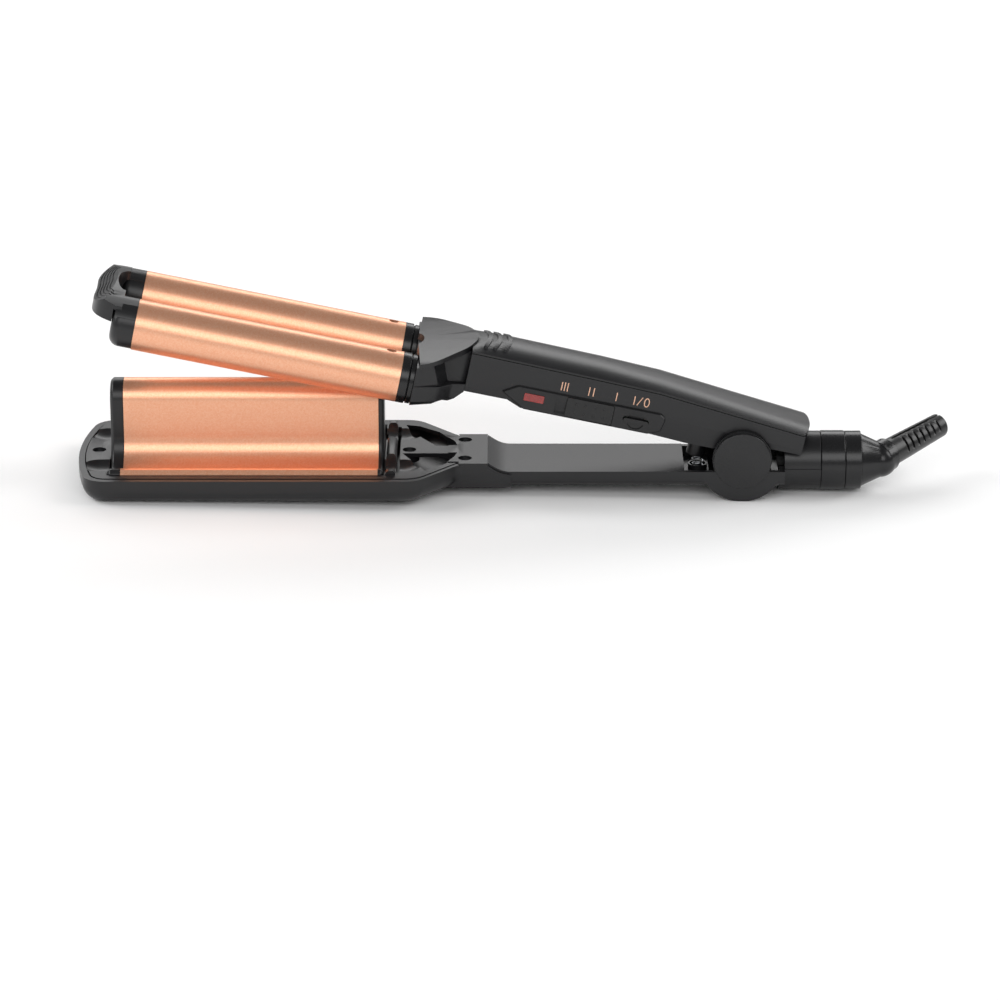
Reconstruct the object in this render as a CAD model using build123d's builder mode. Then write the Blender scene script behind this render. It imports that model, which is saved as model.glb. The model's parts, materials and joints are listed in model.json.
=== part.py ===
from build123d import *
import os
from math import atan2, cos, degrees, radians, sin

# Triple-barrel hair crimper (deep waver).
# Design frame: hinge axis on Y through the origin, +X towards the cord, jaws towards -X,
# controls on the -Y side, +Z up. Upper pieces are drawn closed, then swung open.

# driving dimensions, mm
open_angle = 11.8           # between the arms at rest, degrees
barrel_r = 11.0             # heated barrels of the upper jaw
barrel_y = 20.5             # half of their spacing
barrel_z = 8.0              # their axis, above the hinge axis, closed
barrel_x0 = -269.0          # tip end of the copper
barrel_x1 = -153.6          # handle end of the copper
nose_x = -279.2             # end of the barrel noses
nose_r = 10.65
tip_x = -288.6              # end of the upper jaw's thumb tip

ridge_top = 31.6
trough_gap = 0.9            # air between a closed barrel and its trough
ridge_half = barrel_y - barrel_r - trough_gap
sheet = 1.2                 # wave plate wall
lip_y = 33.0                # outer edge of the wave plate
lip_z = 0.4
plate_base_z = -5.6         # bottom edge of the plate's skirt
cap_x0 = -275.0             # ends of the wave plate's end caps
cap_x1 = -155.7
plate_x0 = -269.2
plate_x1 = -158.2

jaw_tip = -289.5            # lower jaw tray
jaw_half = 40.3
jaw_shoulder = -141.5
jaw_neck = -123.5
rim_z = -1.8
deck_z = -1.5               # deck between the rims, cut away around the closed barrels
deck_gap = 0.45
nose_room = 12.2            # radius of those cuts
tray_z = -12.8
wall = 2.6
neck_half = 19.3
neck_z = -1.1
neck_x = -110.6
step_x = -100.6
lid_t = 1.1                 # flange of the arm's cover over the walls

arm_half = 18.3             # lower arm
arm_top = -5.2
arm_rim = -5.4
arm_bottom = -12.0
arm_wall = 2.0
cover_t = 2.0
well_x = -25.0              # where the arm's cover stops before the hinge
bulge_r = 19.0
shell_x1 = 18.7             # where the arm becomes the tail tube

ear_r = 12.9                # hinge
ear_in = 15.9
pin_r = 3.0
cap_r = 12.5
cap_face = 20.0
spring_x = -18.6

tail_z = -6.2               # tail tube axis
tail_r = 12.8
tail_x1 = 34.8
ring_x1 = 45.7
collar_x1 = 52.7
elbow = (61.5, 0.0, -5.4)   # where the cord turns off the tail's axis
elbow_r = 7.6
boot_r = (6.3, 5.3)         # at its root and its end
boot_lean = 7.6             # how far the cord boot points above level
boot_len = 39.2

handle_half = 15.5          # upper handle
handle_wall = 2.0
handle_x0 = -124.6
handle_x1 = 24.9
seam_gap = 0.3
seam = [(handle_x0, 22.8), (-68.0, 21.9), (-41.0, 21.2), (handle_x1, 15.0)]
crown = [(handle_x0, 24.6), (-119.0, 26.4), (-107.0, 27.1), (-62.0, 26.3), (-41.0, 24.9), (handle_x1, 17.6)]
rib_x = (-117.3, -113.1, -108.7)
rib_width = 1.8
rib_proud = 1.1
rib_bow = 1.9
rib_reach = 11.0
cover_x1 = 27.2
cover_stations = [handle_x0, -119.0, -107.0, -68.0, -41.0, -8.0, 15.0, cover_x1 + 0.3]
belly = [(handle_x0, 5.0), (-104.9, 5.0), (-98.9, 2.4), (-42.0, 2.2), (-26.0, 1.3)]
side_crease = [(handle_x0, 8.4), (-108.6, 9.2), (-37.0, 11.2), (-9.4, 9.9), (handle_x1, 8.6)]
crease_inset = 1.5          # the sides lean in below the crease
crease_room = 1.0           # and the wall is thicker inside
head_x0 = -147.4            # barrel yoke
yoke_room_x = -143.2         # its room for the barrels' wires starts here
head_bottom = -0.5
head_seam = 8.6             # joint between the yoke's two halves
cover_room = 24.0           # the yoke is drawn up to here, then cut below the shield
shield = [(-147.9, 6.0), (-146.4, 33.6), (-138.6, 28.9), (-134.3, 24.0), (-130.1, 19.0), (-126.8, 14.6),
          (-124.2, 8.8), (-122.3, 0.0)]
shield_z = 19.2             # its edge above the hinge axis at shield_x
shield_x = -146.4
shield_climb = 0.249        # rise towards the handle
shield_crown = 1.2
shield_t = 1.8
panel_proud = 1.1           # control panel stands off the handle's side

slider_x0 = -80.0           # heat slider
slider_x1 = -59.3
slider_travel = 4.6
button_x = -49.1            # power button
button_z = 7.7
button_press = 0.9
lens_x = -94.4
lens_z = 8.8

tray_rest_x = jaw_tip + 6.0
rest_tilt = degrees(atan2(bulge_r + tray_z, -tray_rest_x))

lower_pose = Location((0, 0, 0), (0, -rest_tilt, 0))
upper_pose = lower_pose * Location((0, 0, 0), (0, open_angle, 0))
pieces = []


def line_at(points, x):
    """Height of a run of straight lines at x."""
    for (x0, z0), (x1, z1) in zip(points, points[1:]):
        if x <= x1:
            return z0 + (z1 - z0) * (x - x0) / (x1 - x0)
    (x0, z0), (x1, z1) = points[-2:]
    return z0 + (z1 - z0) * (x - x0) / (x1 - x0)


def keep(piece, name, pose):
    """Hold a finished piece at its rest pose until all are made."""
    pieces.append((name, piece.part.moved(pose)))


def side(y=0.0):
    """Vertical plane across the hinge axis: local axes X and Z, normal -Y."""
    return Plane((0, y, 0), x_dir=(1, 0, 0), z_dir=(0, -1, 0))


def across(x):
    """Plane across the arms: local axes Y and Z, normal +X."""
    return Plane.YZ.offset(x)


def rod(x0, x1, y, z, radius, bore=0.0):
    """Round bar or tube along X."""
    with BuildPart() as made:
        with BuildSketch(across(x0)):
            with Locations((y, z)):
                Circle(radius)
                if bore:
                    Circle(bore, mode=Mode.SUBTRACT)
        extrude(amount=x1 - x0)
    return made


def block(x0, x1, y0, y1, z0, z1, round_by=0.0):
    """Box between two corners, with its X edges rounded."""
    with BuildPart() as made:
        with BuildSketch(across(x0)):
            with Locations(((y0 + y1) / 2, (z0 + z1) / 2)):
                if round_by:
                    RectangleRounded(y1 - y0, z1 - z0, round_by)
                else:
                    Rectangle(y1 - y0, z1 - z0)
        extrude(amount=x1 - x0)
    return made


def screws(places, head_z, head_r, head_t, shank_r, shank_len):
    """Pan-head screws pointing down, one solid at each (x, y)."""
    with BuildPart() as made:
        with BuildSketch(Plane.XY.offset(head_z)):
            with Locations(*places):
                Circle(head_r)
        extrude(amount=-head_t)
        with BuildSketch(Plane.XY.offset(head_z - head_t)):
            with Locations(*places):
                Circle(shank_r)
        extrude(amount=-shank_len)
    return made


# lower jaw

def jaw_tray(inset, bottom, top, under_round):
    """Solid of the spoon-shaped lower jaw, shrunk by inset."""
    half = jaw_half - inset
    neck = neck_half - inset
    tip = jaw_tip + inset
    with BuildPart() as made:
        with BuildSketch(Plane.XY.offset(bottom)) as plan:
            with BuildLine():
                end = ThreePointArc((tip + 6, -half), (tip, 0), (tip + 6, half))
                Polyline(end @ 1, (jaw_shoulder, half), (jaw_neck, neck), (neck_x, neck),
                         (neck_x, -neck), (jaw_neck, -neck), (jaw_shoulder, -half), end @ 0)
            make_face()
            corners = plan.vertices()
            fillet(corners.filter_by(lambda v: v.X < tip + 10), radius=10 - inset)
            corners = plan.vertices()
            fillet(corners.filter_by(lambda v: abs(v.X - jaw_shoulder) < 0.1), radius=11)
            corners = plan.vertices()
            fillet(corners.filter_by(lambda v: abs(v.X - jaw_neck) < 0.1), radius=6)
        extrude(amount=top - bottom)
        if under_round:
            fillet(made.faces().sort_by(Axis.Z)[0].edges(), radius=under_round)
    return made


tray = jaw_tray(0, tray_z, rim_z, 7.5)
tray_pocket = jaw_tray(wall, tray_z + 2.2, rim_z + 1, 5.0)

with BuildPart() as lower_shell:
    add(tray.part)
    with BuildSketch(side()):
        with BuildLine():
            Line((jaw_neck - 6, neck_z - lid_t), (neck_x, neck_z - lid_t))
            Bezier((neck_x, neck_z - lid_t), (neck_x + 3.0, neck_z - lid_t - 2.0),
                   (neck_x + 5.5, arm_top - lid_t),
                   (step_x, arm_top - lid_t))
            Polyline((step_x, arm_top - lid_t), (step_x, arm_bottom), (jaw_neck - 6, arm_bottom),
                     (jaw_neck - 6, neck_z - lid_t))
        make_face()
    extrude(amount=neck_half, both=True)
    with BuildSketch(side()):
        with BuildLine():
            Polyline((step_x - 3, arm_bottom), (step_x - 3, arm_top - lid_t), (well_x, arm_top - lid_t),
                     (well_x, arm_rim), (shell_x1, arm_rim), (shell_x1, arm_bottom), close=True)
        make_face()
    extrude(amount=arm_half, both=True)
    belly_edges = lower_shell.edges().filter_by(Axis.X).filter_by(
        lambda e: abs(e.center().Z - arm_bottom) < 0.01 and e.center().X > step_x)
    fillet(belly_edges, radius=3.0)
    with BuildSketch(side()) as bulge:
        Circle(bulge_r)
        with Locations((0, bulge_r + arm_rim)):
            Rectangle(3 * bulge_r, 2 * bulge_r, mode=Mode.SUBTRACT)
    extrude(amount=arm_half, both=True)
    with BuildSketch(side()):
        Circle(ear_r)
    extrude(amount=arm_half, both=True)
    # hollow inside: jaw, neck, arm and hinge well
    add(tray_pocket.part, mode=Mode.SUBTRACT)
    with BuildSketch(side()):
        with BuildLine():
            Polyline((jaw_neck - 8, arm_bottom + arm_wall), (jaw_neck - 8, 5), (step_x - 2, 5),
                     (step_x - 2, arm_bottom + arm_wall), close=True)
        make_face()
    extrude(amount=neck_half - wall, both=True, mode=Mode.SUBTRACT)
    with BuildSketch(side()):
        with BuildLine():
            Polyline((step_x - 5, arm_bottom + arm_wall), (step_x - 5, 20), (shell_x1 - 2, 20),
                     (shell_x1 - 2, arm_bottom + arm_wall), close=True)
        make_face()
        Circle(bulge_r - arm_wall)
    extrude(amount=ear_in, both=True, mode=Mode.SUBTRACT)
    # rear half tube
    with BuildSketch(across(shell_x1 - 2)):
        with Locations((0, tail_z)):
            Circle(tail_r)
        with Locations((0, tail_z + tail_r)):
            Rectangle(3 * tail_r, 2 * tail_r, mode=Mode.SUBTRACT)
    extrude(amount=tail_x1 - shell_x1 + 2)
    with BuildSketch(across(shell_x1 - 2)):
        with Locations((0, tail_z)):
            Circle(tail_r - arm_wall)
    extrude(amount=60, mode=Mode.SUBTRACT)
    # hinge pin bore, and the rebate that the arm's cover drops into
    with BuildSketch(side()):
        Circle(pin_r + 0.02)
    extrude(amount=30, both=True, mode=Mode.SUBTRACT)
    # groove under the neck's lid is left by the deck; the jaw's rim is cut back where that lid lies
    with BuildSketch(side()):
        with Locations((neck_x, neck_z - lid_t + 5)):
            Rectangle(2 * (neck_x - jaw_neck), 10)
    extrude(amount=neck_half + 2, both=True, mode=Mode.SUBTRACT)
keep(lower_shell, "lower_shell", lower_pose)

deck_rim = jaw_tray(wall + deck_gap, deck_z - 1.8, deck_z, 0)
leaf_rear = [(-147.0, 32.6), (-141.0, 31.0), (-132.0, 23.0), (-125.0, 9.5), (-124.0, 4.8),
             (-133.3, 4.8), (-144.3, 23.2)]
leaf_front = [(-148.0, -4.8), (-124.0, -4.8), (-125.4, -10.5), (-129.3, -18.9), (-137.8, -27.0),
              (-144.8, -12.0)]
screw_x = -145.0            # deck screw behind the plate
tip_screw_x = -281.0
neck_screw = (-120.6, 12.0)
head_r = 2.75               # screw heads, sunk in their pockets
head_sunk = 1.7
with BuildPart() as jaw_deck:
    add(deck_rim.part)
    # bosses for the screws, and thicker places below the room for noses and collars
    with BuildSketch(Plane.XY.offset(deck_z)):
        with Locations((screw_x, 0), (tip_screw_x, 0)):
            Circle(4.4)
    extrude(amount=-4.6)
    with BuildSketch(Plane.XY.offset(deck_z)):
        with Locations(*[(x, y) for x in (nose_x + 0.4, head_x0) for y in (-barrel_y, barrel_y)]):
            Circle(6.2)
    extrude(amount=-3.6)
    # neck lid: its flange lies on the walls, its plug drops between them
    with BuildSketch(side()):
        with BuildLine():
            Polyline((jaw_neck + 0.2, neck_z - lid_t), (jaw_neck + 0.2, neck_z), (neck_x - 0.1, neck_z),
                     (neck_x - 0.1, neck_z - lid_t), close=True)
        make_face()
    extrude(amount=neck_half, both=True)
    with BuildSketch(side()):
        with BuildLine():
            Polyline((jaw_neck - 9, deck_z - 1.8), (jaw_neck - 4, neck_z), (neck_x - 0.1, neck_z),
                     (neck_x - 0.1, deck_z - 4.6), (jaw_neck - 1, deck_z - 4.6), close=True)
        make_face()
    extrude(amount=neck_half - wall - 0.1, both=True)
    with BuildSketch(Plane.XY.offset(-20)):
        with Locations(((cap_x0 + cap_x1) / 2, 0)):
            Rectangle(cap_x1 - cap_x0 + 0.4, 2 * lip_y + 0.4)
        with Locations((-149.75, 0)):
            Rectangle(1.5, 60)
        Polygon(*leaf_rear, align=None)
        Polygon(*leaf_front, align=None)
    extrude(amount=40, mode=Mode.SUBTRACT)
    # saddle behind the plate
    with BuildSketch(side()):
        with Locations((-152.7, deck_z - 2.8)):
            RectangleRounded(4.2, 9.6, 1.6)
    extrude(amount=lip_y, both=True)
    # room for the noses and collars of the closed barrels
    for y in (-barrel_y, barrel_y):
        for x0, x1 in ((nose_x, cap_x0), (cap_x1, head_x0)):
            add(rod(x0, x1, y, barrel_z, nose_room).part, mode=Mode.SUBTRACT)
        with Locations((nose_x, y, barrel_z), (head_x0, y, barrel_z)):
            Sphere(nose_room, mode=Mode.SUBTRACT)
    with BuildSketch(Plane.XY.offset(-20)):
        with Locations((neck_screw[0], neck_screw[1]), (neck_screw[0], -neck_screw[1]), (screw_x, 0),
                       (tip_screw_x, 0)):
            Circle(1.5)
    extrude(amount=40, mode=Mode.SUBTRACT)
    with BuildSketch(Plane.XY.offset(neck_z - head_sunk - 0.8)):
        with Locations((neck_screw[0], neck_screw[1]), (neck_screw[0], -neck_screw[1])):
            Circle(head_r + 0.25)
    extrude(amount=10, mode=Mode.SUBTRACT)
    with BuildSketch(Plane.XY.offset(deck_z - head_sunk - 0.8)):
        with Locations((screw_x, 0), (tip_screw_x, 0)):
            Circle(head_r + 0.25)
    extrude(amount=10, mode=Mode.SUBTRACT)
keep(jaw_deck, "jaw_deck", lower_pose)

deck_screws = screws([(screw_x, 0), (tip_screw_x, 0)], deck_z - head_sunk, head_r, 0.8, 1.4, 5.5)
keep(deck_screws, "deck_screws", lower_pose)
neck_screws = screws([neck_screw, (neck_screw[0], -neck_screw[1])], neck_z - head_sunk, head_r, 0.8,
                     1.4, 6.0)
keep(neck_screws, "neck_screws", lower_pose)


def wave_outline(inset):
    """Section of the wave plate: lip, trough, centre barrel, trough, lip."""
    trough = barrel_r + trough_gap + inset
    ridge = barrel_y - trough
    lip = lip_z - inset
    edge = -lip_y + inset
    reach = (trough ** 2 - (barrel_z - lip) ** 2) ** 0.5
    crest = ridge_top - ridge_half
    with BuildSketch() as section:
        with BuildLine() as outline:
            Polyline((edge, plate_base_z), (edge, lip - 1.5), (edge + 1.5, lip), (-barrel_y - reach, lip))
            ThreePointArc((-barrel_y - reach, lip), (-barrel_y, barrel_z - trough), (-ridge, barrel_z))
            Line((-ridge, barrel_z), (-ridge, crest))
            ThreePointArc((-ridge, crest), (-ridge * 0.5 ** 0.5, crest + ridge * 0.5 ** 0.5),
                          (0, crest + ridge))
            mirror(outline.line, about=Plane.YZ)
            Line((edge, plate_base_z), (-edge, plate_base_z))
        make_face()
    return section.sketch


with BuildPart() as wave_plate:
    with BuildSketch(across(plate_x0)):
        add(wave_outline(0))
    extrude(amount=plate_x1 - plate_x0)
    with BuildSketch(across(plate_x0)):
        add(wave_outline(sheet))
    extrude(amount=plate_x1 - plate_x0, mode=Mode.SUBTRACT)
keep(wave_plate, "wave_plate", lower_pose)

for name, x0, x1, front in (("plate_cap_tip", cap_x0, plate_x0, True),
                            ("plate_cap_rear", plate_x1, cap_x1, False)):
    with BuildPart() as plate_cap:
        with BuildSketch(across(x0)):
            add(wave_outline(0))
        extrude(amount=x1 - x0)
        outer = plate_cap.faces().sort_by(Axis.X)[0 if front else -1]
        chamfer(outer.edges().filter_by(lambda e: e.center().Z > plate_base_z + 0.1), length=1.2)
    keep(plate_cap, name, lower_pose)

# heater of the centre barrel: a ceramic bar held up against the copper by a bent clip
heater_z = ridge_top - ridge_half - 4
lower_heater = block(-250, -180, -6.5, 6.5, heater_z - 4, heater_z, 0.6)
keep(lower_heater, "lower_heater", lower_pose)
with BuildPart() as heater_clip:
    with BuildSketch(side()):
        with BuildLine():
            Polyline((-255, heater_z - 4.2), (-175, heater_z - 4.2), (-175, heater_z - 5.2),
                     (-205, heater_z - 5.2),
                     (-205, plate_base_z + 1), (-212, plate_base_z + 1), (-212, heater_z - 5.2),
                     (-255, heater_z - 5.2), close=True)
        make_face()
    extrude(amount=5.5, both=True)
keep(heater_clip, "heater_clip", lower_pose)
thermal_fuse = rod(-176, -163, 0, heater_z - 2, 2.2)
keep(thermal_fuse, "thermal_fuse", lower_pose)

# lower arm, hinge and tail

with BuildPart() as arm_cover:
    with BuildSketch(side()):
        with BuildLine():
            Bezier((neck_x, neck_z), (neck_x + 3.0, neck_z - 2.0), (neck_x + 5.5, arm_top),
                   (step_x, arm_top))
            Polyline((step_x, arm_top), (well_x, arm_top), (well_x, arm_top - lid_t),
                     (step_x, arm_top - lid_t))
            Bezier((step_x, arm_top - lid_t), (neck_x + 5.5, arm_top - lid_t),
                   (neck_x + 3.0, neck_z - lid_t - 2.0),
                   (neck_x, neck_z - lid_t))
            Line((neck_x, neck_z - lid_t), (neck_x, neck_z))
        make_face()
    extrude(amount=arm_half, both=True)
    with BuildSketch(side()):
        with Locations(((step_x + well_x) / 2, arm_top - lid_t)):
            Rectangle(well_x - step_x - 1, 2 * (cover_t - lid_t))
    extrude(amount=ear_in - 0.15, both=True)
keep(arm_cover, "arm_cover", lower_pose)

with BuildPart() as tail_cover:
    with BuildSketch(across(shell_x1 + 0.1)):
        with Locations((0, tail_z)):
            Circle(tail_r)
            Circle(tail_r - arm_wall, mode=Mode.SUBTRACT)
        with Locations((0, tail_z - tail_r + 0.1)):
            Rectangle(3 * tail_r, 2 * tail_r, mode=Mode.SUBTRACT)
    extrude(amount=tail_x1 - shell_x1 - 0.1)
keep(tail_cover, "tail_cover", lower_pose)

with BuildPart() as hinge_pin:
    with BuildSketch(side()):
        Circle(pin_r)
    extrude(amount=arm_half, both=True)
keep(hinge_pin, "hinge_pin", lower_pose)

for name, sign in (("hinge_cap_left", -1), ("hinge_cap_right", 1)):
    with BuildPart() as hinge_cap:
        with BuildSketch(side(sign * arm_half)):
            Circle(cap_r)
        extrude(amount=-sign * (cap_face - arm_half))
        fillet(hinge_cap.faces().sort_by(Axis.Y)[-1 if sign > 0 else 0].edges(), radius=0.4)
    keep(hinge_cap, name, lower_pose)

with BuildPart() as lower_spring_cup:
    with BuildSketch(Plane.XY.offset(arm_bottom + arm_wall)):
        with Locations((spring_x, 0)):
            Circle(4.2)
    extrude(amount=2.4)
    with BuildSketch(Plane.XY.offset(arm_bottom + arm_wall + 0.8)):
        with Locations((spring_x, 0)):
            Circle(3.5)
    extrude(amount=4, mode=Mode.SUBTRACT)
keep(lower_spring_cup, "lower_spring_cup", lower_pose)

spring_r = 2.4
wire_r = 0.35
spring_z0 = arm_bottom + arm_wall + 0.8 + wire_r
spring_len = 13.4
with BuildPart() as return_spring:
    with BuildLine():
        coil = Helix(pitch=spring_len / 6, height=spring_len, radius=spring_r,
                     center=(spring_x, 0, spring_z0))
    with BuildSketch(Plane(origin=coil @ 0, z_dir=coil % 0)):
        Circle(wire_r)
    sweep(is_frenet=True)
keep(return_spring, "return_spring", lower_pose)

lock_ring = rod(tail_x1 + 0.15, ring_x1 - 0.15, 0, tail_z, tail_r + 0.2, 9.1)
keep(lock_ring, "lock_ring", lower_pose)

# fixed collar behind the lock ring, with the neck that the ring turns on
with BuildPart() as tail_collar:
    with BuildSketch(across(ring_x1)):
        with Locations((0, tail_z)):
            Circle(tail_r)
            Circle(6.1, mode=Mode.SUBTRACT)
    extrude(amount=collar_x1 - ring_x1)
    with BuildSketch(across(tail_x1 - 8)):
        with Locations((0, tail_z)):
            Circle(9.0)
            Circle(6.1, mode=Mode.SUBTRACT)
    extrude(amount=ring_x1 - tail_x1 + 8)
    with BuildSketch(across(tail_x1 - 8)):
        with Locations((0, tail_z)):
            Circle(tail_r - arm_wall)
            Circle(6.1, mode=Mode.SUBTRACT)
    extrude(amount=3)
keep(tail_collar, "tail_collar", lower_pose)

# cord swivel: cone and elbow outside, stub and retaining flange inside the collar
with BuildPart() as swivel_body:
    with BuildSketch(side()):
        with BuildLine():
            Polyline((tail_x1 - 11, tail_z), (tail_x1 - 11, tail_z + 7.6), (tail_x1 - 8.2, tail_z + 7.6),
                     (tail_x1 - 8.2, tail_z + 6.0), (collar_x1 + 0.2, tail_z + 6.0),
                     (collar_x1 + 0.2, tail_z + 11.6), (elbow[0], tail_z + elbow_r),
                     (elbow[0], tail_z), (tail_x1 - 11, tail_z))
        make_face()
    revolve(axis=Axis((0, 0, tail_z), (1, 0, 0)))

lean = radians(boot_lean)
boot_dir = Vector(cos(lean) * 0.5 ** 0.5, cos(lean) * 0.5 ** 0.5, sin(lean))
boot_root = Vector(*elbow) + boot_dir * 1.5
slots_face = Vector(0, -1, 0.37)
slots_face = (slots_face - boot_dir * slots_face.dot(boot_dir)).normalized()
boot_plane = Plane(origin=boot_root, x_dir=slots_face, z_dir=boot_dir)
with BuildPart() as cord_swivel:
    add(swivel_body.part)
    with Locations((elbow[0], 0, tail_z)):
        Sphere(elbow_r)
    with BuildSketch(Plane(origin=Vector(*elbow), z_dir=boot_dir)):
        Circle(elbow_r - 0.15)
    extrude(amount=4.5)
    with BuildSketch(boot_plane):
        Circle(boot_r[0] + 0.05)
    extrude(amount=boot_len + 5, mode=Mode.SUBTRACT)
keep(cord_swivel, "cord_swivel", lower_pose)

slots_per_side = 7
slot_pitch = 3.75
with BuildPart() as strain_relief:
    with BuildSketch(boot_plane):
        Circle(boot_r[0])
    with BuildSketch(boot_plane.offset(boot_len)):
        Circle(boot_r[1])
    loft()
    fillet(strain_relief.faces().filter_by(GeomType.PLANE).sort_by(SortBy.DISTANCE)[-1].edges(), radius=0.8)
    with BuildSketch(boot_plane.offset(4)):
        Circle(3.3)
    extrude(amount=boot_len, mode=Mode.SUBTRACT)
    for quarter in range(4):
        for step in range(slots_per_side):
            reach = 10.5 + slot_pitch * (step + 0.5 * (quarter % 2))
            if reach > boot_len - 3:
                continue
            turned = boot_plane.offset(reach).rotated((0, 0, 90 * quarter))
            with BuildSketch(turned):
                with Locations((6.4, 0)):
                    Rectangle(3.6, 7.6)
            extrude(amount=1.3, mode=Mode.SUBTRACT)
keep(strain_relief, "strain_relief", lower_pose)

# upper jaw

for name, y in (("front", -barrel_y), ("rear", barrel_y)):
    with BuildPart() as barrel:
        add(rod(barrel_x0, barrel_x1, y, barrel_z, barrel_r, barrel_r - 1.0).part)
        with BuildSketch(Plane.XY.offset(barrel_z)):
            with Locations((barrel_x1 - 5.4, y)):
                SlotOverall(4.4, 3.2)
        extrude(amount=30, mode=Mode.SUBTRACT)
    keep(barrel, f"{name}_barrel", upper_pose)

    with BuildPart() as nose:
        with BuildSketch(Plane((0, y, barrel_z), x_dir=(1, 0, 0), z_dir=(0, -1, 0))) as section:
            with BuildLine():
                Polyline((nose_x, 0), (nose_x, nose_r - 4.4))
                RadiusArc((nose_x, nose_r - 4.4), (nose_x + 4.4, nose_r), 4.4)
                Polyline((nose_x + 4.4, nose_r), (barrel_x0 - 0.05, nose_r),
                         (barrel_x0 - 0.05, barrel_r - 1.1),
                         (barrel_x0 + 6, barrel_r - 1.1), (barrel_x0 + 6, 0), (nose_x, 0))
            make_face()
        revolve(axis=Axis((0, y, barrel_z), (1, 0, 0)))
    keep(nose, f"{name}_nose", upper_pose)

    with BuildPart() as collar:
        add(rod(barrel_x1 + 0.05, -149.9, y, barrel_z, barrel_r, 5).part)
        add(rod(-149.95, -149.35, y, barrel_z, barrel_r - 0.9, 5).part)
        add(rod(-149.4, head_x0, y, barrel_z, barrel_r - 0.3, 5).part)
        add(rod(barrel_x1 - 5, barrel_x1 + 0.1, y, barrel_z, barrel_r - 1.1, 5).part)
    keep(collar, f"{name}_collar", upper_pose)

    heater = rod(-262, -166, y, barrel_z, 4.2, 1.2)
    keep(heater, f"{name}_heater", upper_pose)

    with BuildPart() as spreader:
        add(rod(-258, -170, y, barrel_z, barrel_r - 1.1, 4.3).part)
        with BuildSketch(across(-260)):
            with Locations((y, barrel_z)):
                with PolarLocations(7.4, 6):
                    Circle(1.9)
        extrude(amount=100, mode=Mode.SUBTRACT)
    keep(spreader, f"{name}_heat_spreader", upper_pose)

tip_bow = [(-278.6, -28.4), (-282.7, -26.0), (-286.1, -22.6), (-288.0, -18.5), (tip_x, 0.0)]
tip_low = 9.6               # thumb tip: crossbar over both noses, with arms up to the copper
tip_high = 20.8
tip_crown = 4.6             # fall of its top towards the sides
arm_low = 13.0
rest_x = -280.6             # the thumb rest falls from here to the tip
rest_slope = 0.8
groove_step = 1.2
groove_width = 0.5
groove_depth = 0.55


def tip_plan(inset, back):
    """Plan of the thumb tip: bow outside, straight at its back."""
    bow = [(x + inset, y * (1 - inset / 28.4)) for x, y in tip_bow]
    bow += [(x, -y) for x, y in reversed(bow[:-1])]
    with BuildSketch() as plan:
        with BuildLine():
            Spline(*bow)
            Polyline(bow[-1], (back, bow[-1][1]), (back, bow[0][1]), bow[0])
        make_face()
    return plan.sketch


def tip_top(sink):
    """Everything above the thumb tip's top, which is arched across and falls away towards the tip."""
    with BuildPart() as above:
        with BuildSketch(across(tip_x - 2)):
            with BuildLine():
                arch = ThreePointArc((-32, tip_high - tip_crown - sink), (0, tip_high - sink),
                                     (32, tip_high - tip_crown - sink))
                Polyline(arch @ 1, (32, 40), (-32, 40), arch @ 0)
            make_face()
        extrude(amount=30)
        with BuildSketch(side()):
            with BuildLine():
                rest_end = tip_high - sink - rest_slope * (rest_x + 2 - tip_x)
                Polyline((rest_x, tip_high - sink), (tip_x - 2, rest_end), (tip_x - 2, 40), (rest_x, 40),
                         close=True)
            make_face()
        extrude(amount=32, both=True)
    return above


with BuildPart() as tip_bridge:
    with BuildSketch(Plane.XY.offset(tip_low)):
        add(tip_plan(0, nose_x + 3.4))
    extrude(amount=tip_high - tip_low + 1)
    # arms that lie over both noses up to the copper
    for y in (-barrel_y, barrel_y):
        add(rod(nose_x + 1.0, barrel_x0 - 0.05, y, barrel_z, barrel_r + 0.15).part)
    with BuildSketch(Plane.XY.offset(arm_low)):
        with Locations((nose_x + 13.4, 0)):
            Rectangle(25, 80)
    extrude(amount=-30, mode=Mode.SUBTRACT)
    for y in (-barrel_y, barrel_y):
        add(rod(nose_x - 0.1, barrel_x0 + 5, y, barrel_z, nose_r + 0.03).part, mode=Mode.SUBTRACT)
    # the gap between the noses
    with BuildSketch(Plane.XY.offset(tip_low - 1)):
        with Locations((nose_x + 3.4, 0)):
            Ellipse(4.4, 13.5)
        with Locations((nose_x + 10.4, 0)):
            Rectangle(14, 27)
    extrude(amount=30, mode=Mode.SUBTRACT)
    add(tip_top(0).part, mode=Mode.SUBTRACT)
    # grooves of the thumb rest
    for step in range(5):
        with BuildPart(mode=Mode.PRIVATE) as groove:
            with BuildSketch(Plane.XY.offset(tip_low)):
                add(tip_plan(1.0 + groove_step * step, nose_x + 12))
                add(tip_plan(1.0 + groove_width + groove_step * step, nose_x + 12), mode=Mode.SUBTRACT)
            extrude(amount=20)
            add(block(tip_x, rest_x, -20.5, 20.5, 0, 40).part, mode=Mode.INTERSECT)
            add(tip_top(groove_depth).part, mode=Mode.INTERSECT)
        add(groove.part, mode=Mode.SUBTRACT)
keep(tip_bridge, "tip_bridge", upper_pose)


def shield_slab(sink, thick):
    """Arched slab that climbs from the barrels to the handle, its top sunk below the shield's."""
    start = shield_x - 6
    edge = shield_z + (start - shield_x) * shield_climb - sink
    with BuildPart() as slab:
        with BuildSketch(across(start)):
            with BuildLine():
                top = ThreePointArc((-36, edge - 0.1), (0, edge + shield_crown), (36, edge - 0.1))
                Polyline(top @ 1, (36, edge - thick), (-36, edge - thick), top @ 0)
            make_face()
        extrude(amount=60, dir=(1, 0, shield_climb))
    return slab


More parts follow.
